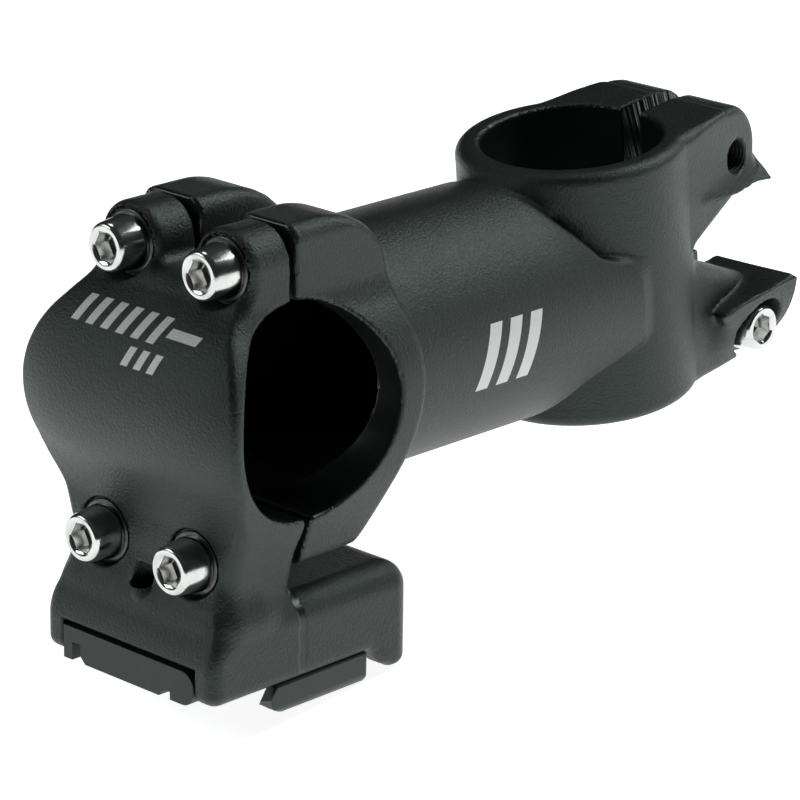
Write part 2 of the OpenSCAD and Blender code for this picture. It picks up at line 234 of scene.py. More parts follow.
def skinOf(distance, xs, ys, zs, s=skin):
    # one point in each grid cell that the surface crosses, at the mean of its edge crossings,
    # and one quad round each grid edge that the surface crosses
    d = distance(*np.meshgrid(xs, ys, zs, indexing="ij", sparse=True))
    neg = d < 0
    n = [size - 1 for size in d.shape]
    corner = [(i, j, k) for i in (0, 1) for j in (0, 1) for k in (0, 1)]
    count = sum(neg[i:i + n[0], j:j + n[1], k:k + n[2]].astype(np.int8) for i, j, k in corner)
    cell = np.argwhere((count > 0) & (count < 8))
    number = np.full(n, -1)
    number[tuple(cell.T)] = np.arange(len(cell))
    lines = (xs, ys, zs)
    total, hits = np.zeros((len(cell), 3)), np.zeros(len(cell))
    for axis in range(3):
        for c in corner:
            if c[axis]:
                continue
            a = cell + np.array(c)
            b = a.copy()
            b[:, axis] += 1
            da, db = d[tuple(a.T)], d[tuple(b.T)]
            cross = (da < 0) != (db < 0)
            t = np.where(cross, da / np.where(cross, da - db, 1), 0)
            spot = [lines[m][a[:, m]] + (t * (lines[m][b[:, m]] - lines[m][a[:, m]])) for m in range(3)]
            total += np.stack(spot, 1) * cross[:, None]
            hits += cross
    points = total / hits[:, None]
    quads = []
    for axis in range(3):
        one, two = (axis + 1) % 3, (axis + 2) % 3
        lo = [slice(1, -1)] * 3
        lo[axis] = slice(0, -1)
        hi = list(lo)
        hi[axis] = slice(1, None)
        here, there = neg[tuple(lo)], neg[tuple(hi)]
        spot = np.argwhere(here != there)
        outward = here[tuple(spot.T)]
        spot = spot + np.array([0 if m == axis else 1 for m in range(3)])
        ring = []
        for da, db in ((-1, -1), (0, -1), (0, 0), (-1, 0)):
            q = spot.copy()
            q[:, one] += da
            q[:, two] += db
            ring.append(number[tuple(q.T)])
        ring = np.stack(ring, 1)
        quads.append(np.where(outward[:, None], ring, ring[:, ::-1]))
    quads = np.concatenate(quads)
    points = settle(distance, points, s["settling"])
    for _ in range(s["evenings"]):
        # evens out the points along the surface, then puts them back on it
        a, b = quads.ravel(), np.roll(quads, -1, axis=1).ravel()
        near = np.stack([np.bincount(a, points[b, m], len(points)) + np.bincount(b, points[a, m], len(points))
                         for m in range(3)], 1)
        near /= (np.bincount(a, minlength=len(points)) + np.bincount(b, minlength=len(points)))[:, None]
        g = slope(distance, points)
        g /= np.maximum(np.linalg.norm(g, axis=1), 1e-6)[:, None]
        move = (near - points) * s["pull"]
        points = settle(distance, points + move - (move * g).sum(1)[:, None] * g, s["resettling"])
    g = slope(distance, points, s["facingReach"])
    return points, quads, g / np.linalg.norm(g, axis=1)[:, None]


def spaced(*stops):
    # grid lines: each pair of stops gives where a stretch ends and its step
    lines = [np.array([stops[0]])]
    for end, step in zip(stops[1::2], stops[2::2]):
        start = lines[-1][-1]
        lines.append(np.linspace(start, end, max(2, round((end - start) / step) + 1))[1:])
    return np.concatenate(lines)


def makePiece(name, points, faces, body, material, stands=(), sharp=None, marks=None, facing=None):
    # a mesh from points in millimetres, riding on its body in place of the nodes that it stands for
    mesh = bpy.data.meshes.new(name)
    points = np.asarray(points, dtype=float) * mm
    if isinstance(faces, np.ndarray):
        sides = faces.shape[1]
        mesh.vertices.add(len(points))
        mesh.vertices.foreach_set("co", points.ravel())
        mesh.loops.add(faces.size)
        mesh.loops.foreach_set("vertex_index", faces.ravel().astype(np.int32))
        mesh.polygons.add(len(faces))
        mesh.polygons.foreach_set("loop_start", np.arange(0, faces.size, sides, dtype=np.int32))
        mesh.update(calc_edges=True)
    else:
        mesh.from_pydata(points.tolist(), [], faces)
    mesh.validate()
    mesh.shade_smooth()
    if sharp:
        mesh.set_sharp_from_angle(angle=math.radians(sharp))
    if facing is not None:
        mesh.normals_split_custom_set_from_vertices(facing)
    for label, values in (marks or {}).items():
        mesh.attributes.new(label, "FLOAT", "POINT").data.foreach_set("value", values.astype(np.float32))
    mesh.materials.append(material)
    piece = bpy.data.objects.new(name, mesh)
    bpy.context.scene.collection.objects.link(piece)
    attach(piece, body)
    if stands:
        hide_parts(*stands)
    print(name, len(points), "points")
    return piece


# Finishes
def newGroup(name, inputs, outputs):
    # an empty node group with its named sockets
    group = bpy.data.node_groups.new(name, "ShaderNodeTree")
    for label, kind, value in inputs:
        socket = group.interface.new_socket(label, in_out="INPUT", socket_type=kind)
        if value is not None:
            socket.default_value = value
    for label, kind in outputs:
        group.interface.new_socket(label, in_out="OUTPUT", socket_type=kind)
    return group, group.nodes.new("NodeGroupInput"), group.nodes.new("NodeGroupOutput")


class Wiring:
    # short ways to add nodes to one tree
    def __init__(self, tree):
        self.tree = tree

    def add(self, kind, values=None, **settings):
        node = self.tree.nodes.new(kind)
        for key, value in settings.items():
            setattr(node, key, value)
        for key, value in (values or {}).items():
            self.put(node.inputs[key], value)
        return node

    def put(self, socket, value):
        if isinstance(value, bpy.types.NodeSocket):
            self.tree.links.new(value, socket)
        else:
            socket.default_value = value

    def math(self, operation, a, b=0.0):
        node = self.add("ShaderNodeMath", operation=operation)
        for socket, value in zip(node.inputs, (a, b)):
            self.put(socket, value)
        return node.outputs[0]

    def range(self, value, low, high, toLow=0.0, toHigh=1.0):
        values = {"Value": value, "From Min": low, "From Max": high, "To Min": toLow, "To Max": toHigh}
        return self.add("ShaderNodeMapRange", values, interpolation_type="SMOOTHSTEP").outputs["Result"]

    def blend(self, factor, a, b):
        node = self.add("ShaderNodeMix", data_type="RGBA")
        for socket, v in ((node.inputs[0], factor), (node.inputs[6], a), (node.inputs[7], b)):
            self.put(socket, v if isinstance(v, (bpy.types.NodeSocket, float)) else (*v, 1))
        return node.outputs[2]

    def noise(self, vector, scale, detail=2.0, roughness=0.5):
        return self.add("ShaderNodeTexNoise", {"Vector": vector, "Scale": scale, "Detail": detail,
                                               "Roughness": roughness}).outputs["Fac"]


def leatherGrain():
    # fine pebbled surface of a thick coat: three parts of coarse noise and one of fine, none where plain
    group, given, out = newGroup("leatherGrain", [
        ("Vector", "NodeSocketVector", None), ("Pebble Size", "NodeSocketFloat", 1500.0),
        ("Plain", "NodeSocketFloat", 0.0)], [("Height", "NodeSocketFloat"), ("Tone", "NodeSocketFloat")])
    w = Wiring(group)
    size, place = given.outputs["Pebble Size"], given.outputs["Vector"]
    soft = w.noise(place, w.math("MULTIPLY", size, 0.8), detail=3.0, roughness=0.6)
    fine = w.noise(place, w.math("MULTIPLY", size, 2.1), detail=2.0, roughness=0.55)
    height = w.math("ADD", w.math("MULTIPLY", soft, 0.75), w.math("MULTIPLY", fine, 0.25))
    kept = w.math("SUBTRACT", 1.0, given.outputs["Plain"])
    w.put(out.inputs["Height"], w.math("MULTIPLY", height, kept))
    w.put(out.inputs["Tone"], w.math("MULTIPLY", soft, kept))
    return group


def turnedLines():
    # fine tool lines round a turned part: noise that changes only along the axis and outwards from it
    group, given, out = newGroup("turnedLines", [
        ("Vector", "NodeSocketVector", None), ("Axis", "NodeSocketVector", None),
        ("Fineness", "NodeSocketFloat", 9000.0)],
        [("Height", "NodeSocketFloat"), ("Scuff", "NodeSocketFloat")])
    w = Wiring(group)
    place = given.outputs["Vector"]
    along = w.add("ShaderNodeVectorMath", operation="DOT_PRODUCT")
    w.put(along.inputs[0], place)
    w.put(along.inputs[1], given.outputs["Axis"])
    lines = w.add("ShaderNodeTexNoise", noise_dimensions="1D")
    w.put(lines.inputs["W"], along.outputs["Value"])
    w.put(lines.inputs["Scale"], given.outputs["Fineness"])
    lines.inputs["Detail"].default_value = 3.0
    w.put(out.inputs["Height"], lines.outputs["Fac"])
    w.put(out.inputs["Scuff"], w.noise(place, scale=420.0, detail=4.0, roughness=0.65))
    return group


grain = leatherGrain()
turning = turnedLines()


def newMaterial(name):
    material = bpy.data.materials.new(name)
    material.use_nodes = True
    return material, Wiring(material.node_tree), material.node_tree.nodes["Principled BSDF"]


printing = {"white": (0.78, 0.78, 0.77), "smoother": 0.1, "softness": 0.00004}


def slantedBars(w, across, along, bars):
    # white print: 1 inside any bar (centre across, centre along, half width, half length, lean)
    mask = None
    for cx, cy, halfWide, halfLong, lean in bars:
        dy = w.math("SUBTRACT", along, cy)
        dx = w.math("SUBTRACT", w.math("SUBTRACT", across, cx), w.math("MULTIPLY", dy, lean))
        wide = w.math("SUBTRACT", w.math("ABSOLUTE", dx), halfWide)
        long = w.math("SUBTRACT", w.math("ABSOLUTE", dy), halfLong)
        soft = printing["softness"]
        bar = w.range(w.math("MAXIMUM", wide, long), -soft, soft, 1.0, 0.0)
        mask = bar if mask is None else w.math("MAXIMUM", mask, bar)
    return mask


# the paler edge colour and its share are a painted highlight along the sharp edges, not wear
coat = {"pebble": 2900.0, "colour": (0.011, 0.0130, 0.0126), "deep": (0.007, 0.0085, 0.0082),
        "bore": (0.009, 0.0105, 0.0102), "boreShare": 0.6, "borePlain": 0.85, "boreSmoother": 0.04,
        "paintedEdgeHighlight": (0.03, 0.033, 0.032), "paintedEdgeHighlightShare": 0.35, "edgeSmoother": 0.06,
        "cloud": 60.0, "cloudShare": 0.25, "rough": (0.34, 0.44),
        "shine": 0.55, "shineTint": (0.84, 1.0, 0.95), "bump": 1.0, "depth": 0.00022}
saw = {"fineness": 1100.0, "slant": 0.25, "height": 1.2,
       "halfWidth": (0.0021, 0.0023), "from": (0.012, 0.0135)}


def sawLines(w, place):
    # lines left by the saw, on the walls of the slit only: noise along y with a little of z
    x, y, z = w.add("ShaderNodeSeparateXYZ", {0: place}).outputs
    lines = w.add("ShaderNodeTexNoise", {"Scale": saw["fineness"], "Detail": 1.0}, noise_dimensions="1D")
    w.put(lines.inputs["W"], w.math("ADD", y, w.math("MULTIPLY", z, saw["slant"])))
    inSlit = w.math("MULTIPLY", w.range(w.math("ABSOLUTE", x), *saw["halfWidth"], 1.0, 0.0),
                    w.range(y, *saw["from"]))
    return w.math("MULTIPLY", w.math("MULTIPLY", lines.outputs["Fac"], inSlit), saw["height"])


def coatedMaterial(name, s):
    # satin black coat over forged aluminium, smoother in the machined bores and a little paler on the edges,
    # where a highlight is painted into the colour
    material, w, shader = newMaterial(name)
    place = w.add("ShaderNodeTexCoord").outputs["Object"]
    machined = w.add("ShaderNodeAttribute", attribute_name="machined").outputs["Fac"]
    edge = w.add("ShaderNodeAttribute", attribute_name="edge").outputs["Fac"]
    pebbles = w.add("ShaderNodeGroup", node_tree=grain)
    w.put(pebbles.inputs["Vector"], place)
    pebbles.inputs["Pebble Size"].default_value = s["pebble"]
    w.put(pebbles.inputs["Plain"], w.math("MULTIPLY", machined, s["borePlain"]))
    tone = pebbles.outputs["Tone"]
    cloud = w.noise(place, s["cloud"], detail=3.0, roughness=0.5)
    colour = w.blend(tone, s["deep"], s["colour"])
    colour = w.blend(w.range(cloud, 0.35, 0.65, 0.0, s["cloudShare"]), colour, s["deep"])
    colour = w.blend(w.math("MULTIPLY", machined, s["boreShare"]), colour, s["bore"])
    # painted highlight: where the surface turns sharply outwards, the colour is blended towards a paler one
    colour = w.blend(w.math("MULTIPLY", edge, s["paintedEdgeHighlightShare"]), colour, s["paintedEdgeHighlight"])
    rough = w.range(tone, 0.3, 0.7, *s["rough"])
    rough = w.math("SUBTRACT", rough, w.math("MULTIPLY", edge, s["edgeSmoother"]))
    rough = w.math("SUBTRACT", rough, w.math("MULTIPLY", machined, s["boreSmoother"]))
    if "mark" in s:
        split = w.add("ShaderNodeSeparateXYZ", {0: place})
        white = s["mark"](w, *split.outputs)
        colour = w.blend(white, colour, printing["white"])
        kept = w.math("SUBTRACT", 1.0, w.math("MULTIPLY", white, printing["smoother"]))
        rough = w.math("MULTIPLY", rough, kept)
    w.put(shader.inputs["Base Color"], colour)
    w.put(shader.inputs["Roughness"], rough)
    shader.inputs["Metallic"].default_value = 0.0
    shader.inputs["IOR"].default_value = 1.5
    shader.inputs["Specular IOR Level"].default_value = s["shine"]
    shader.inputs["Specular Tint"].default_value = (*s["shineTint"], 1)
    height = pebbles.outputs["Height"]
    if "sawn" in s:
        height = w.math("ADD", height, s["sawn"](w, place))
    bump = w.add("ShaderNodeBump", {"Height": height, "Strength": s["bump"], "Distance": s["depth"]})
    w.put(shader.inputs["Normal"], bump.outputs["Normal"])
    return material


steel = {"colour": (0.74, 0.74, 0.73), "dull": (0.60, 0.60, 0.59), "rough": (0.10, 0.20), "lineRough": 0.05,
         "fineness": 9000.0, "bump": 0.25, "depth": 0.00002}


def steelMaterial(name, s):
    # bright steel with fine tool lines round its axis, duller and rougher where it is scuffed
    material, w, shader = newMaterial(name)
    place = w.add("ShaderNodeTexCoord").outputs["Object"]
    lines = w.add("ShaderNodeGroup", node_tree=turning)
    w.put(lines.inputs["Vector"], place)
    lines.inputs["Axis"].default_value = s["axis"]
    lines.inputs["Fineness"].default_value = s["fineness"]
    scuff, height = lines.outputs["Scuff"], lines.outputs["Height"]
    w.put(shader.inputs["Base Color"], w.blend(w.range(scuff, 0.3, 0.7), s["colour"], s["dull"]))
    rough = w.math("ADD", w.range(scuff, 0.3, 0.75, *s["rough"]), w.math("MULTIPLY", height, s["lineRough"]))
    w.put(shader.inputs["Roughness"], rough)
    shader.inputs["Metallic"].default_value = 1.0
    bump = w.add("ShaderNodeBump", {"Height": height, "Strength": s["bump"], "Distance": s["depth"]})
    w.put(shader.inputs["Normal"], bump.outputs["Normal"])
    return material


def printCoords(w, y, z):
    # forward and up distances from the bar centre, in metres, as nodes
    dy, dz = w.math("SUBTRACT", y, barCentre[1] * mm), w.math("SUBTRACT", z, barCentre[2] * mm)
    return [w.math("ADD", w.math("MULTIPLY", dy, way[1]), w.math("MULTIPLY", dz, way[2]))
            for way in (forward, upward)]


# The printed bars, in metres
tubeBars = {"first": -0.0385, "apart": -0.0045, "count": 3, "height": -0.0002, "halfWidth": 0.0013,
            "halfLength": 0.0050, "lean": -0.30, "side": 0.005}
frontBars = {"radius": 0.0195, "lean": 0.35, "front": 0.010,
             "top": {"first": -0.0118, "apart": 0.0032, "count": 6,
                     "height": 0.0135, "half": (0.0008, 0.0023)},
             "dash": {"first": 0.0092, "apart": 0, "count": 1,
                      "height": 0.0135, "half": (0.0030, 0.0008)},
             "low": {"first": 0.0005, "apart": 0.0027, "count": 3,
                     "height": 0.0085, "half": (0.0007, 0.0015)}}


def tubeMark(w, x, y, z):
    # three slanted bars printed on the extension's right side, placed along and across its axis
    s = tubeBars
    f, u = printCoords(w, y, z)
    bars = [(s["first"] + i * s["apart"], s["height"], s["halfWidth"], s["halfLength"], s["lean"])
            for i in range(s["count"])]
    return w.math("MULTIPLY", slantedBars(w, f, u, bars), w.math("GREATER_THAN", x, s["side"]))


def frontMark(w, x, y, z):
    # two rows of slanted bars printed on the front, placed sideways and by the angle round the bore
    s = frontBars
    f, u = printCoords(w, y, z)
    arc = w.math("MULTIPLY", w.math("ARCTAN2", u, f), s["radius"])
    bars = [(row["first"] + i * row["apart"], row["height"], *row["half"], s["lean"])
            for row in (s["top"], s["dash"], s["low"]) for i in range(row["count"])]
    return w.math("MULTIPLY", slantedBars(w, x, arc, bars), w.math("GREATER_THAN", f, s["front"]))


stemCoat = coatedMaterial("stemCoat", {**coat, "mark": tubeMark, "sawn": sawLines})
frontCoat = coatedMaterial("frontCoat", {**coat, "mark": frontMark})
railCoat = coatedMaterial("railCoat", {**coat, "pebble": 5000.0, "bump": 0.3, "rough": (0.34, 0.40)})
coverCoat = coatedMaterial("coverCoat", {**coat, "pebble": 6000.0, "bump": 0.35, "rough": (0.46, 0.52),
                                         "colour": (0.03, 0.034, 0.033)})
frontSteel = steelMaterial("frontSteel", {**steel, "axis": tuple(forward)})
pinchSteel = steelMaterial("pinchSteel", {**steel, "axis": (1, 0, 0)})
washerSteel = steelMaterial("washerSteel", {**steel, "axis": tuple(upward), "colour": (0.13, 0.13, 0.13),
                                            "dull": (0.08, 0.08, 0.08), "rough": (0.25, 0.35)})
darkSteel = steelMaterial("darkSteel", {**steel, "axis": tuple(upward), "colour": (0.22, 0.22, 0.23),
                                        "dull": (0.12, 0.12, 0.13), "rough": (0.28, 0.40)})
print("finishes made")


# Stem: steerer clamp, extension and the rear half of the bar clamp. Pairs are where an ease starts and ends
steerer = {"bore": 14.3, "barrel": 18.4, "halfHeight": 21.25, "rim": 0.8, "edge": 1.9,
           "slit": 1.95, "slitFrom": 6, "slitEdge": 0.35,
           "earWidth": 16.8, "earTaper": 0.179, "earFrom": 4.3, "earRound": 1.5, "lowerRound": 3.2,
           "notchFillet": 0.8, "lowFillet": 3.2, "lowFilletSpan": (-7, -15),
           "rampFrom": -21.5, "rampSlope": 0.7, "earEdgeLess": 1.0, "earEdgeSpan": (10, 18),
           "pinchBack": 24.5, "pinchUp": 12.7, "pinchDown": 16.2, "pinchHole": 2.8, "seat": 11.9,
           "seatRadius": 5.2, "seatEdge": 0.3,
           "upperEar": [(0, 30), (21.5, 30), (23.1, 21.25)] + arcPoints(23.1, 13.45, 7.8, 84, 0, 10)
           + arcPoints(24.3, 12.9, 6.5, 0, -65, 8) + [(12.7, 2.6), (6.0, 0.4), (0, 0.4)],
           "lowerEar": [(0, 0.4), (6.0, 0.4), (12.7, -1.2)] + arcPoints(24.1, -14.6, 6.7, 72, 0, 9)
           + arcPoints(26.4, -16.9, 4.4, 0, -80, 7) + [(24.0, -24.0), (16.0, -30), (0, -30)]}
extension = {"radius": 19.4, "hollow": 17.2, "hollowEnd": -58.6, "hollowFront": 3, "hollowEdge": 0.35,
             "shoulder": 20.2, "shoulderStep": 2.0, "stepSpan": (-6, -13), "shoulderRound": 2.2,
             "straightEnd": 4.2, "straightTop": (9, 3), "straightLow": (-11, -5),
             "fillet": 1.8, "endFillet": 4.0, "upperFilletSpan": (11, 18), "lowerFilletSpan": (-12, -18)}
clamp = {"bar": 15.9, "barRim": 0.7, "half": 22.7, "crown": 19.0, "skirt": 42.0,
         "split": 0.5, "splitEdge": 0.45,
         "footInner": -17, "footHalf": 16.2, "footLow": -50, "footTop": -14, "footFillet": 4,
         "earHalf": 6.2, "earLow": 4, "earTop": 26.95, "earFillet": 1.8,
         "rearEarCorner": 2.6, "frontEarCorner": 5.6,
         "upperX": 9.8, "upperU": 21.1, "lowerX": 9.45, "lowerU": -22.0, "upperSeat": 7.3, "lowerSeat": 13.0,
         "upperHole": 2.55, "upperDeep": -14.7, "lowerHole": 2.05, "lowerDeep": -9.2, "holeEdge": 0.15,
         "rearRound": 1.9, "rearFillet": 1.4,
         "rear": [(-4, 30), (5.3, 30), (14.4, 25.2), (18.0, 22.2), (19.4, 19.8), (20.6, 13.2), (21.9, 3.5),
                  (21.6, -2.5), (20.4, -8.0), (18.4, -13.4), (16.0, -18.4), (13.6, -22.6), (11.8, -24.2),
                  (-4, -24.2)]}
clamp["rear"] = cornersCut(clamp["rear"])


def clampOutline(x, u, earCorner):
    # front view of the bar clamp: a crown of two arcs, a skirt of two wide arcs and two upright ears
    c = clamp
    ax = np.abs(x)
    flat = c["half"] - c["crown"]
    crown = np.where(ax < flat, np.abs(u) - c["crown"], np.hypot(ax - flat, u) - c["crown"])
    skirt = np.hypot(ax + c["skirt"] - c["half"], u) - c["skirt"]
    foot = boxDistance(ax, u, c["footInner"], c["footHalf"], c["footLow"], c["footTop"])
    middle = np.where(u > 0, crown, roundUnion(skirt, foot, c["footFillet"]))
    ears = boxDistance(ax, u, c["upperX"] - c["earHalf"], c["upperX"] + c["earHalf"],
                       c["earLow"], c["earTop"], earCorner)
    return roundUnion(middle, ears, c["earFillet"])


def earsDistance(x, y, z, s):
    # upper and lower ears: their side outlines cut by two planes that close in towards the rear
    taper = np.abs(x) + s["earTaper"] * (y - s["earFrom"]) - s["earWidth"]
    plane = taper / math.hypot(1, s["earTaper"])
    upper = roundCut(outlineDistance(y, z, s["upperEar"]), plane, s["earRound"])
    lower = roundCut(outlineDistance(y, z, s["lowerEar"]), plane, s["lowerRound"])
    return np.minimum(upper, lower), plane


def stemDistance(x, y, z):
    # barrel, ears, extension and rear clamp half joined by fillets, less the bores, slit and screw holes
    s, e, c = steerer, extension, clamp
    f, u = clampCoords(y, z)
    rho, rt, bar = np.hypot(x, y), np.hypot(x, u), np.hypot(f, u)
    ax = np.abs(x)
    barrel = rho - s["barrel"]
    ears, plane = earsDistance(x, y, z, s)
    # the ears run into the barrel with a tight fillet at the notch and a wide one below
    earFillet = s["notchFillet"] + s["lowFillet"] * ease(*s["lowFilletSpan"], z)
    whole = np.maximum(roundUnion(barrel, ears, earFillet), np.minimum(barrel, plane))
    # the extension ends in a soft shoulder: a round one above and below, a straight one at mid height
    flat = ease(*e["straightTop"], z) * ease(*e["straightLow"], z)
    tubeEnd = (1 - flat) * (e["shoulder"] + e["shoulderStep"] * ease(*e["stepSpan"], z) - rho)
    tubeEnd = tubeEnd + flat * (y + e["straightEnd"])
    tube = np.maximum(roundCut(rt - e["radius"], tubeEnd, e["shoulderRound"]), f)
    ends = ease(*e["upperFilletSpan"], z) + ease(*e["lowerFilletSpan"], z)
    body = roundUnion(whole, tube, e["fillet"] + (e["endFillet"] - e["fillet"]) * ends)
    topFace = np.abs(z) - s["halfHeight"] - np.maximum(s["rampFrom"] - y, 0) * s["rampSlope"]
    body = roundCut(body, topFace, s["edge"] - s["earEdgeLess"] * ease(*s["earEdgeSpan"], y))
    rear = roundCut(outlineDistance(-f, u, c["rear"]), clampOutline(x, u, c["rearEarCorner"]), c["rearRound"])
    body = roundUnion(body, rear, c["rearFillet"])
    body = roundCut(body, f + c["split"], c["splitEdge"])
    body = roundCut(body, c["bar"] - bar, c["barRim"])
    hollow = np.maximum(rt - e["hollow"], np.maximum(e["hollowEnd"] - f, f - e["hollowFront"]))
    body = roundCut(body, -hollow, e["hollowEdge"])
    body = roundCut(body, s["bore"] - rho, s["rim"])
    body = roundCut(body, -np.maximum(ax - s["slit"], s["slitFrom"] - y), s["slitEdge"])
    for end in ("upper", "lower"):
        hole = np.hypot(ax - c[end + "X"], u - c[end + "U"]) - c[end + "Hole"]
        body = roundCut(body, -np.maximum(hole, c[end + "Deep"] - f), c["holeEdge"])
    for side, pinchZ in ((-1, s["pinchUp"]), (1, -s["pinchDown"])):
        r = np.hypot(y - s["pinchBack"], z - pinchZ)
        body = roundCut(body, s["pinchHole"] - r, s["seatEdge"])
        body = roundCut(body, -np.maximum(r - s["seatRadius"], s["seat"] - side * x), s["seatEdge"])
    return body


machinedReach = {"steerer": 14.6, "bar": 16.1, "split": 0.75, "hollow": 17.4, "hollowSpan": (-59, -14),
                 "slit": 2.1, "slitFrom": 14}


def machinedOf(p, s=machinedReach):
    # 1 on the bores, slit and split faces, 0 on the coated outside
    x, y, z = p.T
    f, u = clampCoords(y, z)
    inside = (np.hypot(x, y) < s["steerer"]) | (np.hypot(f, u) < s["bar"]) | (np.abs(f) < s["split"])
    inside |= (np.hypot(x, u) < s["hollow"]) & (f > s["hollowSpan"][0]) & (f < s["hollowSpan"][1])
    inside |= (np.abs(x) < s["slit"]) & (y > s["slitFrom"])
    return inside.astype(float)


def edgeOf(distance, p, h=0.5, least=0.35, span=1.2):
    # how sharply the surface turns outwards: the distance's mean change half a millimetre around
    steps = np.eye(3) * h
    bend = sum(distance(*(p + s).T) + distance(*(p - s).T) for s in steps) / h
    return np.clip((bend - least) / span, 0, 1)


def makeForging(name, distance, grid, body, material, node):
    # skins a distance on its grid and marks where it is machined and where its edges are
    points, quads, facing = skinOf(distance, *grid)
    marks = {"machined": machinedOf(points), "edge": edgeOf(distance, points)}
    makePiece(name, points, quads, body, material, [node], marks=marks, facing=facing)


# grid lines along x, y and z; nothing but the plain extension lies between the two coarse stops
stemGrid = (spaced(-23.6, 23.6, 0.58), spaced(-84, -55, 0.58, -24, 1.1, 32, 0.58), spaced(-22, 36, 0.58))
makeForging("stemBody", stemDistance, stemGrid, "stem", stemCoat, "stem_body")


# Faceplate with the block below it
plate = {"shell": 19.5, "crownDrop": 1.4, "crownAt": 22, "earFront": 8.7,
         "earSpan": (10, 34), "earFillet": 2.5,
         "lowerFront": 13.7, "lowerSpan": (-34, -10), "lowerFillet": 3.0,
         "edge": 0.9, "lowerSofter": 1.7, "lowerSofterSpan": (-12, -18), "earSofter": 1.5,
         "earSofterSpan": (13, 18), "earSofterFront": (2, 5), "wallLow": -40,
         "blockHalf": 18.3, "blockFront": 18.0, "blockRear": -23.2, "blockLow": -41.3, "blockCorner": 3.4,
         "frontCornerLess": 1.2, "frontCornerSpan": (0, 6),
         "shelf": -28.6, "shelfRound": 4.2, "lowRound": 1.8,
         "tightFillet": 1.2, "wideFillet": 3.8, "wideFilletFront": (1, 8), "wideFilletUp": (-35, -29),
         "splitLow": -28, "splitEdgeLow": -27.5,
         "channelHalf": 14.2, "channelTop": -36.1, "channelRear": -21.2, "channelEdge": 0.35,
         "stopLow": -45.4,
         "screwHole": 2.75, "seatRadius": 5.2, "seatEdge": 0.3, "holeEdge": 0.25,
         "dockF": 14.8, "dockHole": 1.95, "holeF": 14.3, "holeU": -27.5, "holeTop": -24.6, "holeLean": 0.2}


def blockDistance(ax, f, u, s):
    # the block: a plan with rounded corners, under a sloping top and over a low edge with a stop at its rear
    plan = boxDistance(ax, f, -s["blockHalf"], s["blockHalf"], s["blockRear"], s["blockFront"],
                       s["blockCorner"] - s["frontCornerLess"] * ease(*s["frontCornerSpan"], f))
    upper = outlineDistance(f, u, [(30, -60), (30, -40.2), (13.2, -27.6), (0.5, s["shelf"]),
                                   (-40, s["shelf"]), (-40, -60)])
    low, stop = s["blockLow"], s["stopLow"]
    under = outlineDistance(f, u, [(30, -20), (30, low), (-14.6, low), (-15.6, low - 0.7),
                                   (-17.4, stop + 1.2), (-19.2, stop + 0.2), (-21.0, stop),
                                   (-40, stop), (-40, -20)])
    return roundCut(roundCut(plan, upper, s["shelfRound"]), under, s["lowRound"])


def seatCut(d, x, f, u, end):
    # less one pair of clear holes, each with a round recess in front of its screw's seat
    c, s = clamp, plate
    r = np.hypot(np.abs(x) - c[end + "X"], u - c[end + "U"])
    d = roundCut(d, s["screwHole"] - r, s["holeEdge"])
    return roundCut(d, -np.maximum(r - s["seatRadius"], c[end + "Seat"] - f), s["seatEdge"])


def plateDistance(x, y, z):
    # a shell round the bar with its ears and lower wall, joined to the block, less the bore and holes
    c, s = clamp, plate
    f, u = clampCoords(y, z)
    ax = np.abs(x)
    shell = np.hypot(f, u) - s["shell"] + s["crownDrop"] * (ax / s["crownAt"]) ** 4 * (f > 0)
    ears = boxDistance(f, u, 0, s["earFront"], *s["earSpan"])
    lower = boxDistance(f, u, 0, s["lowerFront"], *s["lowerSpan"])
    side = roundUnion(roundUnion(shell, ears, s["earFillet"]), lower, s["lowerFillet"])
    softer = s["lowerSofter"] * ease(*s["lowerSofterSpan"], u)
    softer = softer + s["earSofter"] * ease(*s["earSofterSpan"], u) * ease(*s["earSofterFront"], f)
    body = roundCut(side, clampOutline(x, u, c["frontEarCorner"]), s["edge"] + softer)
    body = np.maximum(body, s["wallLow"] - u)
    body = np.maximum(body, np.where(u > s["splitLow"], c["split"] - f, -1))
    # the walls run down into the block with a wide fillet in front and a tight one at the split
    wide = ease(*s["wideFilletFront"], f) * ease(*s["wideFilletUp"], u)
    body = roundUnion(body, blockDistance(ax, f, u, s), s["tightFillet"] + s["wideFillet"] * wide)
    body = roundCut(body, np.where(u > s["splitEdgeLow"], c["split"] - f, -3), c["splitEdge"])
    body = roundCut(body, c["bar"] - np.hypot(f, u), c["barRim"])
    channel = np.maximum(np.maximum(ax - s["channelHalf"], s["channelRear"] - f), u - s["channelTop"])
    body = roundCut(body, -channel, s["channelEdge"])
    body = seatCut(seatCut(body, x, f, u, "upper"), x, f, u, "lower")
    hole = np.hypot(x, f - s["holeF"] - s["holeLean"] * (u - s["holeU"])) - s["dockHole"]
    return roundCut(body, -np.maximum(hole, u - s["holeTop"]), s["holeEdge"])


plateGrid = (spaced(-23.6, 23.6, 0.48), spaced(-103.6, -61, 0.48), spaced(-42, 36, 0.48))
makeForging("faceplateBody", plateDistance, plateGrid, "faceplate", frontCoat,
            "faceplate")


# Turned parts: a profile of (distance along the axis, radius) carried round the axis
def triangleWave(t):
    # 0 at whole numbers, rising straight to 1 midway between them
    return 2 * np.abs(t - np.floor(t + 0.5))


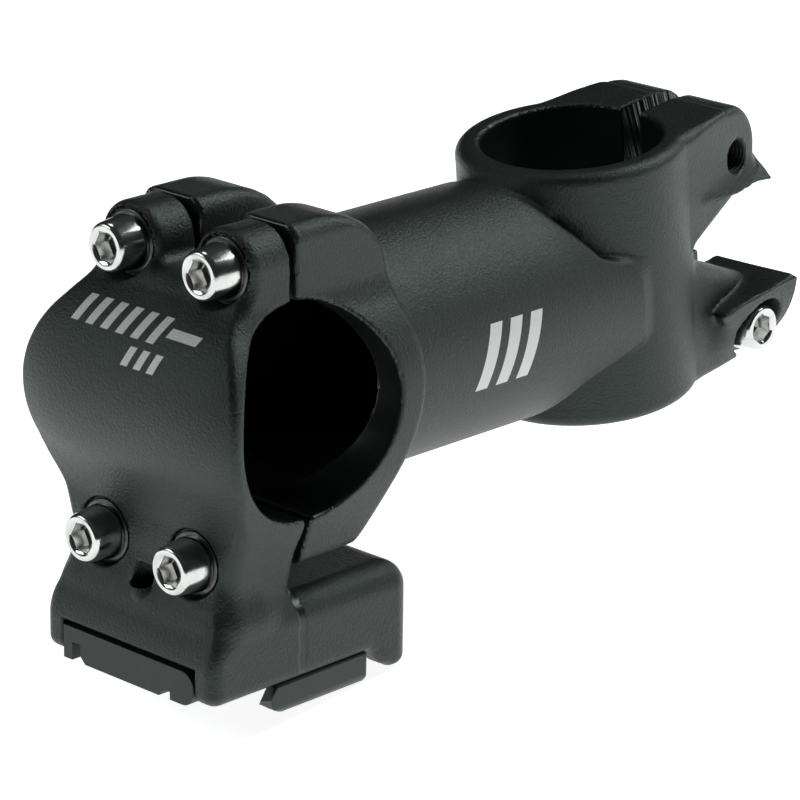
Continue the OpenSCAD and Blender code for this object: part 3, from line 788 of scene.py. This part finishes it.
def turned(rows, origin, axis, count=96, thread=None, closed=False):
    # radius at each turn angle is the row's own, drawn towards a hexagon by the row's third value;
    # threaded rows ride on a triangle wave that climbs one pitch a turn
    rows = np.array(rows, dtype=float)
    angle = np.linspace(0, 2 * np.pi, count, endpoint=False)
    sector = np.mod(angle + np.pi / 6, np.pi / 3) - np.pi / 6
    a, r, hexed, cut = (rows[:, i:i + 1] for i in range(4))
    radius = r * (1 - hexed) + r * hexed * np.cos(np.pi / 6) / np.cos(sector)[None, :]
    if thread:
        radius = radius - cut * triangleWave(a / thread - angle[None, :] / (2 * np.pi))
    axis = np.array(axis, float) / np.linalg.norm(axis)
    one = np.cross(axis, sideways if abs(axis[0]) < 0.9 else np.array([0.0, 0.0, 1.0]))
    one /= np.linalg.norm(one)
    two = np.cross(axis, one)
    ring = np.cos(angle)[None, :, None] * one + np.sin(angle)[None, :, None] * two
    points = (np.array(origin) + a[..., None] * axis + radius[..., None] * ring).reshape(-1, 3)
    n = len(rows)
    i, j = np.meshgrid(np.arange(n if closed else n - 1), np.arange(count), indexing="ij")
    nextRow, nextTurn = (i + 1) % n, (j + 1) % count
    here, ahead = i * count, nextRow * count
    quads = np.stack([here + j, here + nextTurn, ahead + nextTurn, ahead + j], -1)
    faces = quads.reshape(-1, 4)[:, ::-1].tolist()
    if not closed:
        faces += [list(range(count)), list(range((n - 1) * count, n * count))[::-1]]
    return points, faces


def plainRows(pairs):
    # rows that are neither hexagonal nor threaded
    return [(a, r, 0, 0) for a, r in pairs]


screw = {"pitch": 0.8, "shank": 20.0, "threadStart": 2.6, "major": 2.44, "threadDepth": 0.36,
         "rowsPerTurn": 8, "neckRound": 0.12, "tipStart": 0.5, "fadeIn": 0.8, "fadeOut": 0.4,
         "leastThread": 0.15, "turns": 96}
washer = {"thick": 0.5, "inner": 2.7, "outer": 4.8}
screwHead = {
    # socket, from its floor to its mouth: along, radius, hexagon, thread
    "socket": [(1.75, 0.02, 0, 0), (2.15, 1.75, 0.0, 0), (2.2, 2.28, 1, 0), (2.25, 2.309, 1, 0),
               (4.55, 2.309, 1, 0), (4.72, 2.36, 0.8, 0), (4.88, 2.50, 0.15, 0), (4.96, 2.62, 0, 0)],
    # from the socket's mouth to the foot of the head: along, radius
    "face": [(5.0, 2.74), (5.0, 3.18), (4.97, 3.30), (4.88, 3.44), (4.74, 3.56), (4.55, 3.66), (4.30, 3.74),
             (0.75, 4.18), (0.35, 4.22), (0.12, 4.17), (0.0, 4.02), (0.0, 2.75)]}


def shankRows(s):
    # plain neck, then a thread that fades in and out at its ends, then a chamfered tip
    start, end = -s["threadStart"], -s["shank"] + s["tipStart"]
    a = np.linspace(start, end, int((start - end) / s["pitch"] * s["rowsPerTurn"]))
    fade = np.clip((start - a) / s["fadeIn"], 0, 1) * np.clip((a - end) / s["fadeOut"], s["leastThread"], 1)
    major = s["major"]
    rows = plainRows([(-0.05, major + s["neckRound"]), (-0.3, major), (start + 0.02, major)])
    rows += [(v, major, 0, s["threadDepth"] * k) for v, k in zip(a, fade)]
    return rows + plainRows([(-s["shank"] + 0.35, 1.95), (-s["shank"], 1.6), (-s["shank"], 0.02)])


def washerRows(t, inner, outer):
    # closed ring with eased edges
    return plainRows([(0.0, inner), (0.0, outer - 0.12), (0.05, outer - 0.03), (0.14, outer),
                      (t - 0.14, outer), (t - 0.05, outer - 0.03), (t, outer - 0.14), (t, inner + 0.1),
                      (t - 0.08, inner), (0.08, inner)])


def makeScrew(name, seat, axis, body, material):
    # a socket head screw and the washer between its head and its seat
    rows = screwHead["socket"] + plainRows(screwHead["face"]) + shankRows(screw)
    label = name.replace("face_", "faceplate_bolt_").replace("pinch_", "pinch_bolt_")
    ringLabel = label.replace("bolt", "washer")
    axis = np.array(axis, float)
    points, faces = turned(rows, seat + washer["thick"] * axis, axis, screw["turns"], screw["pitch"])
    makePiece(label.replace("_", "") + "Screw", points, faces, body + "_bolt", material,
              [label], sharp=38)
    ring = washerRows(washer["thick"], washer["inner"], washer["outer"])
    points, faces = turned(ring, seat, axis, screw["turns"], closed=True)
    makePiece(ringLabel.replace("_", "") + "Ring", points, faces, body + "_washer",
              washerSteel, [ringLabel], sharp=50)


for end in ("upper", "lower"):
    for sign, side in ((-1, "left"), (1, "right")):
        seat = clampPoint(sign * clamp[end + "X"], clamp[end + "Seat"], clamp[end + "U"])
        makeScrew(f"face_{end}_{side}", seat, forward, f"face_{end}_{side}", frontSteel)
for end, side, pinchZ in (("upper", -1, steerer["pinchUp"]), ("lower", 1, -steerer["pinchDown"])):
    makeScrew(f"pinch_{end}", np.array([side * steerer["seat"], steerer["pinchBack"], pinchZ]), (side, 0, 0),
              f"pinch_{end}", pinchSteel)


pinchThread = {"from": 2.6, "length": 9.9, "inner": 2.52, "pitch": 0.8}
dockThread = {"below": -4.5, "length": 5.0, "inner": 1.88, "pitch": 0.7}
sleeve = {"wall": 0.45, "threadDepth": 0.22, "rowsPerTurn": 8, "turns": 72}


def makeSleeve(name, origin, axis, s, body, material):
    # the cut thread inside a hole: a ring whose inner wall rides on the thread wave
    length, inner = s["length"], s["inner"]
    a = np.linspace(0, length, int(length / s["pitch"] * sleeve["rowsPerTurn"]))
    rows = [(v, inner, 0, -sleeve["threadDepth"]) for v in a]
    rows += plainRows([(length, inner + sleeve["wall"]), (0, inner + sleeve["wall"])])
    points, faces = turned(rows, origin, axis, sleeve["turns"], s["pitch"], closed=True)
    makePiece(name, points, [f[::-1] for f in faces], body, material)


for end, side, pinchZ in (("Upper", 1, steerer["pinchUp"]), ("Lower", -1, -steerer["pinchDown"])):
    start = np.array([side * pinchThread["from"], steerer["pinchBack"], pinchZ])
    makeSleeve(f"pinchThread{end}", start, (side, 0, 0), pinchThread, "stem", stemCoat)
lean = plate["holeLean"]
start = clampPoint(0, plate["holeF"] + dockThread["below"] * lean, plate["holeU"] + dockThread["below"])
makeSleeve("dockThread", start, upward + lean * forward, dockThread, "faceplate",
           frontCoat)


# Accessory dock: rail plate, cover and its small screws
def swept(outline, stations):
    # an outline of (x, up) points carried forward through stations: a distance, or one for each point
    outline = np.array(outline, float)
    rows = []
    for station in stations:
        f = np.zeros(len(outline)) + station
        rows.append(barCentre + outline[:, :1] * sideways + f[:, None] * forward + outline[:, 1:] * upward)
    points = np.concatenate(rows)
    n, m = len(outline), len(stations)
    i, j = np.meshgrid(np.arange(m - 1), np.arange(n), indexing="ij")
    quads = np.stack([i * n + j, i * n + (j + 1) % n, (i + 1) * n + (j + 1) % n, (i + 1) * n + j], -1)
    return points, quads.reshape(-1, 4).tolist() + [list(range(n))[::-1], list(range((m - 1) * n, m * n))]


def joined(parts):
    # one list of points and faces from several
    points, faces, start = [], [], 0
    for p, q in parts:
        points.append(p)
        faces += [[v + start for v in face] for face in q]
        start += len(p)
    return np.concatenate(points), faces


def easeEdges(piece, width, segments=3, sharpest=28):
    # rounds every edge that turns by more than the angle
    bevel = piece.modifiers.new("easedEdges", "BEVEL")
    bevel.width, bevel.segments, bevel.limit_method = width * mm, segments, "ANGLE"
    bevel.angle_limit = math.radians(sharpest)
    bevel.harden_normals = False
    bpy.context.view_layer.update()


def outwardFaces(piece):
    # turns each closed shell's faces outwards
    work = bmesh.new()
    work.from_mesh(piece.data)
    bmesh.ops.recalc_face_normals(work, faces=work.faces)
    work.to_mesh(piece.data)
    work.free()


rail = {"plateHalf": 14.0, "plateFront": 12.4, "plateRear": -21.2, "top": -36.3, "low": -41.3,
        "outer": 17.5, "gapHalf": 13.7, "bend": -43.3, "railLow": -46.3, "flange": 2.6,
        "front": 4.5, "rear": -14.5, "straight": 4, "nose": 1.6, "neck": 15.4, "ease": 0.5}


def makeRail(s):
    # a flat plate and two rails, each a neck with a flange that points inwards
    bed = swept([(-s["plateHalf"], s["low"]), (s["plateHalf"], s["low"]), (s["plateHalf"], s["top"]),
                 (-s["plateHalf"], s["top"])], [s["plateRear"], s["plateFront"]])
    parts = [bed]
    outer, gap, low, nose = s["outer"], s["gapHalf"], s["railLow"], s["nose"]
    for side in (-1, 1):
        outline = [(outer, s["low"]), (outer, s["bend"]), (outer, low + 1.0), (outer - 0.8, low),
                   (gap + 0.7, low), (gap, low + 0.8), (s["neck"], low + s["flange"]), (s["neck"], s["low"])]
        outline = [(side * x, u) for x, u in outline]
        # how far each of the outline's points runs ahead at the front end, which makes a rounded nose
        lead = np.array([0, nose, nose * 0.6, -1.8, -1.5, 0.3, nose * 0.8, 0])
        parts.append(swept(outline, [s["rear"], s["front"] - s["straight"], s["front"] + lead]))
    points, faces = joined(parts)
    piece = makePiece("dockRail", points, faces, "faceplate", railCoat, ["dock_rail"], sharp=35)
    outwardFaces(piece)
    easeEdges(piece, s["ease"])


makeRail(rail)

cover = {"half": 14.0, "front": 18.0, "rear": 12.6, "top": -36.8, "low": -42.1, "tongue": (-10.3, 7.3),
         "farLeg": -12.1, "nearLeg": 9.0, "farGapTop": -39.2, "nearGapTop": -40.9, "chamfer": 1.0,
         "nearChamfer": 0.6, "round": 2.4, "ease": 0.4}


def makeCover(s):
    # front view: a plate with a chamfered tongue between two legs, extruded back from the front face
    h, low, cut, r = s["half"], s["low"], s["chamfer"], s["round"]
    left, right = s["tongue"]
    turn = np.radians(np.linspace(0, 90, 7))
    outline = [(h - r + r * math.cos(a), low + r - r * math.sin(a)) for a in turn]
    outline += [(s["nearLeg"], low), (s["nearLeg"], s["nearGapTop"]), (right, s["nearGapTop"]),
                (right, low + cut), (right - cut * s["nearChamfer"], low), (left + cut, low),
                (left, low + cut), (left, s["farGapTop"]), (s["farLeg"], s["farGapTop"]),
                (s["farLeg"], low), (-h, low), (-h, s["top"]), (h - r, s["top"])]
    outline += [(h - r + r * math.sin(a), s["top"] - r + r * math.cos(a)) for a in turn[1:]]
    points, faces = swept(outline, [s["rear"], s["front"]])
    piece = makePiece("dockCover", points, faces, "faceplate", coverCoat, ["dock_cover"],
                      sharp=35)
    outwardFaces(piece)
    easeEdges(piece, s["ease"])


makeCover(cover)

# Small dark screws: profiles of along, radius, hexagon, thread, and the threads between them
grub = {"low": -36.75, "pitch": 0.7, "turns": 72, "major": 1.96, "threadDepth": 0.24,
        "threadSpan": (4.7, 0.4), "threadRows": 50, "foot": [(0.2, 1.6), (0, 1.3), (0, 0.02)],
        "socket": [(2.6, 0.02, 0, 0), (3.0, 0.8, 0, 0), (3.05, 1.16, 1, 0), (4.75, 1.16, 1, 0),
                   (4.9, 1.32, 0, 0), (5.0, 1.5, 0, 0), (4.9, 1.75, 0, 0)]}
countersunk = {"low": -41.2, "pitch": 0.5, "turns": 72, "major": 1.46, "threadDepth": 0.2,
               "threadSpan": (-1.9, -7.6), "threadRows": 90, "foot": [(-7.8, 1.2), (-8, 1.0), (-8, 0.02)],
               "socket": [(-1.25, 0.02, 0, 0), (-1.2, 1.15, 1, 0), (-0.1, 1.15, 1, 0), (0, 1.3, 0, 0),
                          (0, 2.8, 0, 0), (-0.12, 2.95, 0, 0), (-0.3, 2.95, 0, 0), (-1.6, 1.5, 0, 0)],
               "places": {"front": 4.5, "rear": -12.0}}


def makeDockScrew(name, f, axis, s, node):
    # head profile, then threaded rows, then the foot, turned about the axis
    thread = [(a, s["major"], 0, s["threadDepth"]) for a in np.linspace(*s["threadSpan"], s["threadRows"])]
    rows = s["socket"] + thread + plainRows(s["foot"])
    points, faces = turned(rows, clampPoint(0, f, s["low"]), axis, s["turns"], s["pitch"])
    makePiece(name, points, faces, "faceplate", darkSteel, [node], sharp=38)


makeDockScrew("dockClampScrew", plate["dockF"], upward, grub, "dock_clamp_screw")
for end, f in countersunk["places"].items():
    makeDockScrew("dockScrew" + end.title(), f, -upward, countersunk, f"dock_screw_{end}")
